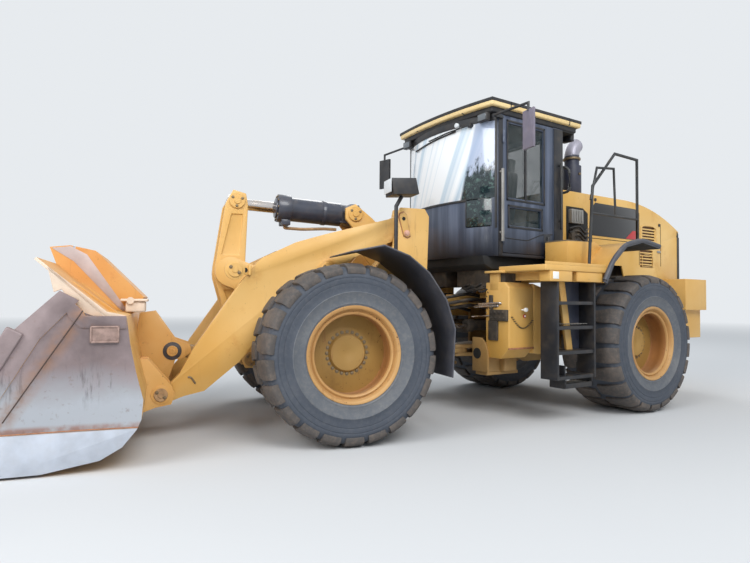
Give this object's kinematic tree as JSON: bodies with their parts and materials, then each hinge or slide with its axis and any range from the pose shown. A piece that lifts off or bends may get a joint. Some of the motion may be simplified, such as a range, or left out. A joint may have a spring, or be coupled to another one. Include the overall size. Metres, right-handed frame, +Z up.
{
  "type": "articulated wheel loader",
  "caption": "Articulated wheel loader with a hollow glazed cab, a Z-bar lift linkage, a general purpose bucket and a tilting engine hood.",
  "frame": {"origin": "on the ground under the middle of the machine's box, as parked with the front half turned right", "axes": "+X forward along the rear half, +Y to its left, +Z up"},
  "size_m": [9.3922, 4.1161, 3.51],
  "materials": {
    "yellow": "warm yellow paint, dusty, with rust streaks",
    "cab_black": "glossy black",
    "black": "satin black, scuffed",
    "tyre": "worn grey rubber with dried mud",
    "rim": "yellow paint with rust at the bolts",
    "glass": "lightly tinted clear",
    "chrome": "hard chrome",
    "exhaust": "grey metal",
    "seat_fabric": "dark woven cloth",
    "machinery": "dusty castings",
    "lamp": "black housing with clear lens",
    "bucket_steel": "worn grey steel with remains of yellow paint"
  },
  "bodies": {
    "rear_half": {"rear_frame": "yellow", "counterweight": "yellow", "tie_down_eyes": "yellow", "engine_block": "machinery", "radiator": "machinery", "transmission": "machinery", "rear_grille": "black", "front_hood": "yellow", "exhaust_stack": "exhaust", "cab_shell": "cab_black", "cab_glass": "glass", "cab_roof": "yellow", "roof_lamps": "lamp", "seat": "seat_fabric", "steering_console": "black", "mirrors": "black", "platforms": "black", "rear_fenders": "black", "handrails": "black", "grab_rails": "black", "ladders": "black", "side_tanks": "yellow"},
    "hood": {"hood": "yellow"},
    "cab_door": {"cab_door": "cab_black", "door_glass": "glass"},
    "rear_axle": {"rear_axle": "yellow"},
    "front_half": {"front_frame": "yellow", "front_axle": "yellow", "front_fenders": "black", "work_lamps": "lamp"},
    "lift_arms": {"lift_arms": "yellow"},
    "tilt_lever": {"tilt_lever": "yellow"},
    "tilt_link": {"tilt_link": "yellow"},
    "bucket": {"bucket": "bucket_steel"},
    "lift_barrels": {"lift_barrel": "yellow"},
    "lift_rods": {"lift_rod": "chrome"},
    "tilt_barrel": {"tilt_barrel": "yellow"},
    "tilt_rod": {"tilt_rod": "chrome"},
    "steer_barrel_left": {"steer_barrel_left": "yellow"},
    "steer_barrel_right": {"steer_barrel_right": "yellow"},
    "steer_rod_left": {"steer_rod_left": "chrome"},
    "steer_rod_right": {"steer_rod_right": "chrome"},
    "front_wheel_left": {"front_tyre_left": "tyre", "front_rim_left": "rim"},
    "front_wheel_right": {"front_tyre_right": "tyre", "front_rim_right": "rim"},
    "rear_wheel_left": {"rear_tyre_left": "tyre", "rear_rim_left": "rim"},
    "rear_wheel_right": {"rear_tyre_right": "tyre", "rear_rim_right": "rim"}
  },
  "joints": [
    {"name": "steer", "type": "hinge", "parent": "rear_half", "child": "front_half", "pos_m": [-0.4725, 0.57392, 1], "axis": [0, 0, -1], "range_deg": [-50.43, 23.57]},
    {"name": "axle_rock", "type": "hinge", "parent": "rear_half", "child": "rear_axle", "pos_m": [-2.2475, 0.57392, 0.81], "axis": [1, 0, 0], "range_deg": [-13, 13]},
    {"name": "lift", "type": "hinge", "parent": "front_half", "child": "lift_arms", "pos_m": [0.42235, 0.36024, 2.12], "axis": [-0.2323, -0.9727, 0], "range_deg": [-2, 87]},
    {"name": "bucket_tilt", "type": "hinge", "parent": "lift_arms", "child": "bucket", "pos_m": [2.79562, -0.20647, 0.42], "axis": [0.2323, 0.9727, 0], "range_deg": [-42, 132]},
    {"name": "lever_turn", "type": "hinge", "parent": "lift_arms", "child": "tilt_lever", "pos_m": [2.17312, -0.05782, 1.57], "axis": [-0.2323, -0.9727, 0], "range_deg": [-12, 37.7]},
    {"name": "link_turn", "type": "hinge", "parent": "bucket", "child": "tilt_link", "pos_m": [2.70322, -0.1844, 0.775], "axis": [-0.2323, -0.9727, 0], "range_deg": [-30.85, 96.94]},
    {"name": "lift_barrel_turn", "type": "hinge", "parent": "front_half", "child": "lift_barrels", "pos_m": [0.24727, 0.40205, 0.78], "axis": [-0.2323, -0.9727, 0], "range_deg": [-0.78, 33.72]},
    {"name": "lift_rod_slide", "type": "slide", "parent": "lift_barrels", "child": "lift_rods", "axis": [0.7693, -0.1837, 0.6119], "range_m": [-0.0245, 1.0232]},
    {"name": "tilt_barrel_turn", "type": "hinge", "parent": "front_half", "child": "tilt_barrel", "pos_m": [0.86004, 0.25572, 2.25], "axis": [-0.2323, -0.9727, 0], "range_deg": [-2.51, 109.15]},
    {"name": "tilt_rod_slide", "type": "slide", "parent": "tilt_barrel", "child": "tilt_rod", "axis": [0.9716, -0.232, 0.0465], "range_m": [-0.2971, 0.0952]},
    {"name": "steer_barrel_turn_left", "type": "hinge", "parent": "rear_half", "child": "steer_barrel_left", "pos_m": [-1.1925, 0.77392, 1], "axis": [0, 0, 1], "range_deg": [-10, 21.4]},
    {"name": "steer_rod_slide_left", "type": "slide", "parent": "steer_barrel_left", "child": "steer_rod_left", "axis": [1, 0.0094, 0], "range_m": [-0.261, 0.1225]},
    {"name": "steer_barrel_turn_right", "type": "hinge", "parent": "rear_half", "child": "steer_barrel_right", "pos_m": [-1.1925, 0.37392, 1], "axis": [0, 0, 1], "range_deg": [-10.1, 21.61]},
    {"name": "steer_rod_slide_right", "type": "slide", "parent": "steer_barrel_right", "child": "steer_rod_right", "axis": [0.9788, -0.2047, 0], "range_m": [-0.1099, 0.234]},
    {"name": "front_wheel_left", "type": "hinge", "parent": "front_half", "child": "front_wheel_left", "pos_m": [1.51293, 1.24617, 0.81], "axis": [0.2323, 0.9727, 0], "continuous": true},
    {"name": "front_wheel_right", "type": "hinge", "parent": "front_half", "child": "front_wheel_right", "pos_m": [0.995, -0.92285, 0.81], "axis": [0.2323, 0.9727, 0], "continuous": true},
    {"name": "rear_wheel_left", "type": "hinge", "parent": "rear_axle", "child": "rear_wheel_left", "pos_m": [-2.2475, 1.68892, 0.81], "axis": [0, 1, 0], "continuous": true},
    {"name": "rear_wheel_right", "type": "hinge", "parent": "rear_axle", "child": "rear_wheel_right", "pos_m": [-2.2475, -0.54108, 0.81], "axis": [0, 1, 0], "continuous": true},
    {"name": "door", "type": "hinge", "parent": "rear_half", "child": "cab_door", "pos_m": [-0.4335, 1.38792, 2.6], "axis": [0, 0, -1], "range_deg": [0, 80]},
    {"name": "hood", "type": "hinge", "parent": "rear_half", "child": "hood", "pos_m": [-4.3225, 0.57392, 2.29], "axis": [0, -1, 0], "range_deg": [0, 50]}
  ],
  "couplings": [
    {"joint": "lever_turn", "follows": "bucket_tilt", "ratio": 0.28},
    {"joint": "link_turn", "follows": "bucket_tilt", "ratio": 0.72},
    {"joint": "lift_barrel_turn", "follows": "lift", "ratio": 0.38},
    {"joint": "lift_rod_slide", "follows": "lift", "m_per_rad": 0.66},
    {"joint": "tilt_barrel_turn", "follows": "lift", "ratio": 1.23},
    {"joint": "tilt_rod_slide", "follows": "bucket_tilt", "m_per_rad": -0.126},
    {"joint": "steer_barrel_turn_left", "follows": "steer", "ratio": -0.416},
    {"joint": "steer_rod_slide_left", "follows": "steer", "m_per_rad": 0.2896},
    {"joint": "steer_barrel_turn_right", "follows": "steer", "ratio": -0.42},
    {"joint": "steer_rod_slide_right", "follows": "steer", "m_per_rad": -0.2595}
  ]
}
